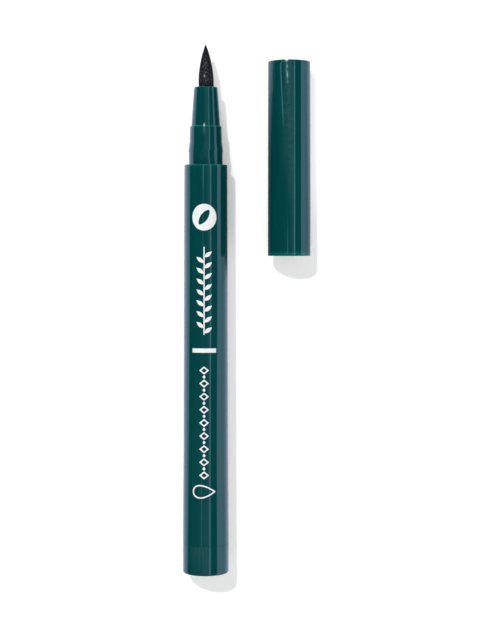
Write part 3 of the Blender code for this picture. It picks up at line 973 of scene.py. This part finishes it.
def make_inner_cap():
    """Liner of natural plastic: a skirt for the cone, and a narrow tip for the nib."""
    mouth, end = stations("inner_cap")
    skirt = mouth + LINER_SKIRT
    tip_radius = LINER_TIP_BORE + LINER_WALL
    natural = soft_plastic("liner_plastic", (0.74, 0.75, 0.72, 1), (0.68, 0.69, 0.66, 1), 0.42)
    liner = turned("cap_liner", CAP_AXIS, [
        (0, end - LINER_WALL),
        (LINER_TIP_BORE, end - LINER_WALL, 0.3 * MM),
        (LINER_TIP_BORE, skirt),
        (CONE_FRONT_RADIUS + FIT_GAP, skirt),
        (CONE_FRONT_RADIUS + FIT_GAP, mouth + CONE_LENGTH),
        (CONE_BASE_RADIUS + FIT_GAP, mouth),
        (LINER_RADIUS, mouth, 0.25 * MM),
        (LINER_RADIUS, skirt + LINER_WALL, 0.3 * MM),
        (tip_radius, skirt + LINER_WALL),
        (tip_radius, end, 0.3 * MM),
        (0, end),
    ], natural)
    dressed(liner, "inner_cap", "cap")


def dress_reservoir():
    """Gives the fibre bundle and its film, which show as they are in the frame, their finishes."""
    grain = {"Fibre Width": 0.09 * MM, "Stretch": 0.3, "Cover": 0.42, "Specks": 0.0, "Wetness": 0.15}
    finishes = {
        "reservoir_core": felt("soaked_fibre", (0.02, 0.021, 0.024, 1), (0.22, 0.22, 0.24, 1), grain, 0.35),
        "reservoir_film": soft_plastic("wrap_film", (0.80, 0.82, 0.82, 1), (0.74, 0.77, 0.78, 1), 0.18),
    }
    for node, finish in finishes.items():
        mesh = bpy.data.objects[node].data
        mesh.materials.clear()
        mesh.materials.append(finish)


# Print on the barrel: a roundel, a sprig, a bar, a row of diamonds and seeds, and a drop

INK_DEPTH = 0.015 * MM
INK_BITE = 0.004 * MM
PRINT_ASIDE = -0.27 * MM


def strip_mark(rows, across):
    """Flat mark of rows, each given as station, left edge and right edge."""
    points = []
    for station, left, right in rows:
        points += [(left + (right - left) * step / across, station, 0) for step in range(across + 1)]
    faces = []
    for row in range(len(rows) - 1):
        for step in range(across):
            corner = row * (across + 1) + step
            faces.append((corner, corner + 1, corner + across + 2, corner + across + 1))
    return points, faces


def bar_mark(width, length, rows, across):
    """Flat bar about its middle."""
    shares = [step / rows - 0.5 for step in range(rows + 1)]
    return strip_mark([(length * share, -width / 2, width / 2) for share in shares], across)


def leaf_mark(width, length):
    """Flat leaf that grows from its blunt foot at the origin and is widest before its middle."""
    rows = []
    for step in range(LEAF_STEPS + 1):
        share = step / LEAF_STEPS
        half = width / 2 * max(0.06, math.sin(math.pi * share ** 0.85))
        rows.append((length * share, -half, half))
    return strip_mark(rows, 6)


def ring_mark(outer, inner, steps, bands):
    """Flat ring between two closed curves, each a function from an angle to (x, y)."""
    points = []
    for step in range(steps):
        angle = 2 * math.pi * step / steps
        edge = Vector(outer(angle))
        hole = Vector(inner(angle))
        points += [(*hole.lerp(edge, band / bands), 0) for band in range(bands + 1)]
    faces = []
    for step in range(steps):
        here = step * (bands + 1)
        there = (step + 1) % steps * (bands + 1)
        faces += [(here + band, here + band + 1, there + band + 1, there + band) for band in range(bands)]
    return points, faces


def oval(across, along):
    """Closed oval as a function of an angle."""
    return lambda angle: (across * math.cos(angle), along * math.sin(angle))


def diamond(across, along):
    """Closed diamond as a function of an angle."""
    def curve(angle):
        wide = math.cos(angle)
        far = math.sin(angle)
        return (across * wide * abs(wide), along * far * abs(far))
    return curve


def drop(across, along, aside):
    """Closed drop as a function of an angle, with its point to the right."""
    return lambda angle: (aside + across * math.cos(angle), along * math.sin(angle) * math.sin(angle / 2))


def leaf_hole(width, length, lean):
    """Closed leaf shape as a function of an angle, leaning to one side."""
    def curve(angle):
        wide = width * math.cos(angle) * abs(math.cos(angle)) ** 0.35
        far = length * math.sin(angle)
        return (wide * math.cos(lean) - far * math.sin(lean), wide * math.sin(lean) + far * math.cos(lean))
    return curve


def printed(name, mark, first, ink, count=1, pitch=0.0, lean=0.0, spread=0.0):
    """Row of one mark, wrapped round the barrel from its first station."""
    points, faces = mark
    source = bpy.data.meshes.new(name + "_flat")
    source.from_pydata(points, [], faces)
    flare_start = BARREL_BACK + FLARE_LENGTH
    taper = (FLARE_RADIUS - BARREL_MOUTH_RADIUS) / (BARREL_MOUTH - flare_start)
    flare = (BARREL_TAIL_RADIUS - FLARE_RADIUS) / FLARE_LENGTH - taper
    piece = grown(name, source, PRINTING, ink, {
        "Count": count, "Pitch": pitch, "First": first, "Lean": lean, "Aside": PRINT_ASIDE,
        "Spread": spread, "Axis": PEN_AXIS, "Radius": BARREL_MOUTH_RADIUS, "Mouth": BARREL_MOUTH,
        "Taper": taper, "Flare Start": flare_start, "Flare": flare, "Ink": INK_DEPTH, "Bite": INK_BITE,
    })
    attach(piece, "pen")


def make_print():
    """White marks along the top of the barrel."""
    ink = white_ink()
    roundel = ring_mark(oval(2.85 * MM, 3.0 * MM), leaf_hole(0.85 * MM, 2.0 * MM, -0.6), 96, 10)
    printed("print_roundel", roundel, 20.79 * MM, ink)
    printed("print_stem", bar_mark(0.26 * MM, 19.8 * MM, 60, 2), 4.2 * MM, ink)
    printed(
        "print_leaves", leaf_mark(0.9 * MM, 2.1 * MM), -5.3 * MM, ink,
        count=15, pitch=1.22 * MM, lean=-52 * DEGREE, spread=0.1 * MM,
    )
    printed("print_bar", bar_mark(5.5 * MM, 0.97 * MM, 3, 26), -9.24 * MM, ink)
    small_diamond = ring_mark(diamond(1.08 * MM, 0.92 * MM), diamond(0.62 * MM, 0.53 * MM), 48, 2)
    printed("print_diamonds", small_diamond, -37.3 * MM, ink, count=9, pitch=2.95 * MM)
    printed("print_seeds", leaf_mark(0.62 * MM, 0.8 * MM), -36.2 * MM, ink, count=8, pitch=2.95 * MM)
    outline = ring_mark(drop(2.6 * MM, 2.01 * MM, 0.0), drop(2.18 * MM, 1.6 * MM, -0.10 * MM), 96, 2)
    printed("print_drop", outline, -41.0 * MM, ink)


# Studio

FLOOR_REACH = 2.0
FLOOR_WHITE = (0.97, 0.97, 0.97, 1)
FLOOR_MIRRORED = (1.2, 1.2, 1.48, 1)
WHITE = (1, 1, 1, 1)
NEAR_REACH = 30 * MM
AMBIENT = 0.72

# Lamps, as name, the way to them, their angle, strength, and whether they only glint
LAMPS = [
    ("key", (-0.31, 0.565, 1), 2.5 * DEGREE, 1.2, False),
    ("spark", (-0.227, 0.59, 1), 9 * DEGREE, 3.6, True),
]

# What a tube mirrors of the studio, as degrees from overhead to the right, and light
REFLECTED_BANDS = [
    (-90, (0.0, 0.0, 0.0)), (-72, (0.06, 0.02, 0.04)), (-30, (0.18, 0.10, 0.12)), (-12, (0.30, 0.22, 0.26)),
    (-6, (0.45, 0.42, 0.46)), (8, (0.50, 0.42, 0.46)), (19.5, (0.60, 0.45, 0.50)), (23, (2.5, 2.6, 2.9)),
    (26, (2.5, 2.6, 2.9)), (29.5, (0.08, 0.03, 0.08)), (61.5, (0.08, 0.03, 0.08)), (63.5, (1.96, 1.93, 2.27)),
    (72, (1.93, 1.74, 2.10)), (90, (1.84, 1.56, 1.86)),
]

# Patches of the floor. Each limit is an axis, where the patch starts and where it is whole, in mm.
LEFT_OF_PEN = [("X", -12, -24), ("Y", -45, -5)]
PEN_TO_CAP = [("X", -3.5, -1.5), ("X", 7, 4), ("Y", 6, 12)]
RIGHT_OF_CAP = [("X", 16, 19), ("X", 60, 28), ("Y", 0, 10), ("Y", 56, 12)]
PEN_SHADOW = [("X", -10, -8), ("Y", 10, 20)]
CAP_SHADOW = [("X", 2, 9), ("Y", 12, 34)]
CAP_SHADOW_RIM = [("X", 15.2, 16.4), ("Y", 2, 54)]

LENS = 95
SENSOR_WIDTH = 36
FRAME_SHIFT = -0.0923
CAMERA_HEIGHT = 376 * MM
CAMERA_PLACE = (0.72 * MM, 12.315 * MM)


def patch(place, limits):
    """Mask of a patch of the floor."""
    masks = []
    for axis, start, whole in limits:
        if start < whole:
            masks.append(rising(place[axis], start * MM, whole * MM))
        else:
            masks.append(fading(place[axis], whole * MM, start * MM))
    return times(*masks)


def lit_share(place, near):
    """How brightly a glossy piece mirrors the floor, which is bright only near the pen."""
    ends = sloped(place["Y"], 0.8, plus(place["X"], 104 * MM))
    bright = times(rising(near, 0.40, 0.78), rising(ends, -30 * MM, 30 * MM))
    window = sloped(patch(place, LEFT_OF_PEN), 0.22, 1.0)
    depth = sloped(rising(place["Y"], 32 * MM, 58 * MM), -0.5, 0.82)
    gap = times(patch(place, PEN_TO_CAP), depth)
    right = times(patch(place, RIGHT_OF_CAP), 0.34)
    return times(bright, window, minus(1.0, larger(gap, right)))


def camera_lift(place, near):
    """Light added to the floor as the camera sees it, so that only the lamp's shadow shows."""
    past_mouth = larger(minus(place["Y"], 30 * MM), 0.0)
    edge = sloped(past_mouth, 0.19, place["X"])
    between = times(fading(edge, -3.4 * MM, -2.2 * MM), patch(place, PEN_SHADOW))
    deepest = sloped(between, -0.11, 0.32)
    lift = made("ShaderNodeMapRange", {
        "Value": near, "From Min": 0.6, "From Max": 1.0, "To Min": deepest, "To Max": 0.09,
    })
    lift = sloped(patch(place, CAP_SHADOW), 0.12, lift)
    return sloped(patch(place, CAP_SHADOW_RIM), 0.16, lift)


def direct(ray):
    """Mask of the camera's rays and of rays through glass."""
    return larger(ray["Is Camera Ray"], ray["Is Transmission Ray"])


def mixed(share, first, second):
    """Shader between two shaders."""
    return made("ShaderNodeMixShader", {0: share, 1: first, 2: second})


def lay_floor():
    """White floor. It keeps the shadows, and a glossy piece mirrors it a little cooler."""
    mesh = bpy.data.meshes.new("floor")
    corners = [(x * FLOOR_REACH, y * FLOOR_REACH, 0) for x, y in ((-1, -1), (1, -1), (1, 1), (-1, 1))]
    mesh.from_pydata(corners, [], [(0, 1, 2, 3)])
    floor = placed("floor", mesh)
    paper = bpy.data.materials.new("floor")
    paper.use_nodes = True
    tree = paper.node_tree
    tree.nodes.clear()
    ray = add(tree, "ShaderNodeLightPath").outputs
    place = split(add(tree, "ShaderNodeTexCoord").outputs["Object"])
    openness = {"Color": WHITE, "Distance": NEAR_REACH}
    near = add(tree, "ShaderNodeAmbientOcclusion", openness, samples=8).outputs["AO"]
    matt = fresh(tree, "ShaderNodeBsdfDiffuse", {"Color": FLOOR_WHITE})
    glow = made("ShaderNodeEmission", {"Color": WHITE, "Strength": camera_lift(place, near)})
    lifted = made("ShaderNodeAddShader", {0: matt, 1: glow})
    mirrored = made("ShaderNodeEmission", {"Color": FLOOR_MIRRORED, "Strength": lit_share(place, near)})
    both = mixed(ray["Is Glossy Ray"], mixed(direct(ray), matt, lifted), mirrored)
    add(tree, "ShaderNodeOutputMaterial", {"Surface": both})
    mesh.materials.append(paper)


def hang_lamps():
    """Key lamp for the shadows, and a small one that only glints."""
    for name, way, size, strength, glossy in LAMPS:
        lamp = bpy.data.lights.new(name, "SUN")
        lamp.energy = strength
        lamp.angle = size
        sun = placed(name, lamp)
        sun.rotation_euler = Vector(way).to_track_quat("Z", "Y").to_euler()
        sun.visible_glossy = glossy
        sun.visible_diffuse = not glossy


def set_surroundings():
    """Even white light, and the long panels that a glossy tube mirrors."""
    world = bpy.data.worlds.new("studio")
    bpy.context.scene.world = world
    world.use_nodes = True
    tree = world.node_tree
    tree.nodes.clear()
    ray = add(tree, "ShaderNodeLightPath").outputs
    parts = split(add(tree, "ShaderNodeTexCoord").outputs["Generated"])
    roll = maths("ARCTAN2", parts["X"], parts["Z"])
    pitch = parts["Y"]
    bend = sloped(rising(pitch, -0.12, 0.0), 5 * DEGREE, -2.5 * DEGREE)
    share = sloped(minus(roll, bend), 1 / (2 * math.pi), 0.5)
    ramp = add(tree, "ShaderNodeValToRGB", {"Fac": share})
    bands = ramp.color_ramp.elements
    while len(bands) < len(REFLECTED_BANDS):
        bands.new(1.0)
    for band, (angle, light) in zip(bands, REFLECTED_BANDS):
        band.position = angle / 360 + 0.5
        band.color = (*light, 1)
    overhead = times(
        rising(pitch, -0.15, -0.11), fading(pitch, 0.055, 0.085),
        hill(roll, -2 * DEGREE, 13 * DEGREE), 0.8,
    )
    ahead = times(fading(roll, -16 * DEGREE, -4 * DEGREE), rising(pitch, -0.10, 0.02), 0.6)
    bright = minus(1.0, larger(overhead, ahead))
    ambient = fresh(tree, "ShaderNodeBackground", {"Color": WHITE, "Strength": AMBIENT})
    mirrored = made("ShaderNodeBackground", {"Color": ramp.outputs["Color"], "Strength": bright})
    white = fresh(tree, "ShaderNodeBackground", {"Color": WHITE, "Strength": 1.0})
    seen = mixed(direct(ray), mixed(ray["Is Glossy Ray"], ambient, mirrored), white)
    add(tree, "ShaderNodeOutputWorld", {"Surface": seen})


def place_camera():
    """Camera straight above, with the frame shifted down towards the tail."""
    lens = bpy.data.cameras.new("camera")
    lens.lens = LENS
    lens.sensor_width = SENSOR_WIDTH
    lens.shift_y = FRAME_SHIFT
    lens.clip_start = 0.01
    camera = placed("camera", lens)
    camera.location = (*CAMERA_PLACE, PEN_AXIS.z + CAMERA_HEIGHT)
    bpy.context.scene.camera = camera
    bpy.context.scene.view_settings.view_transform = "Standard"


make_barrel()
make_tail_plug()
make_nose_section()
make_nib()
make_cap_shell()
make_inner_cap()
dress_reservoir()
make_print()
lay_floor()
hang_lamps()
set_surroundings()
place_camera()
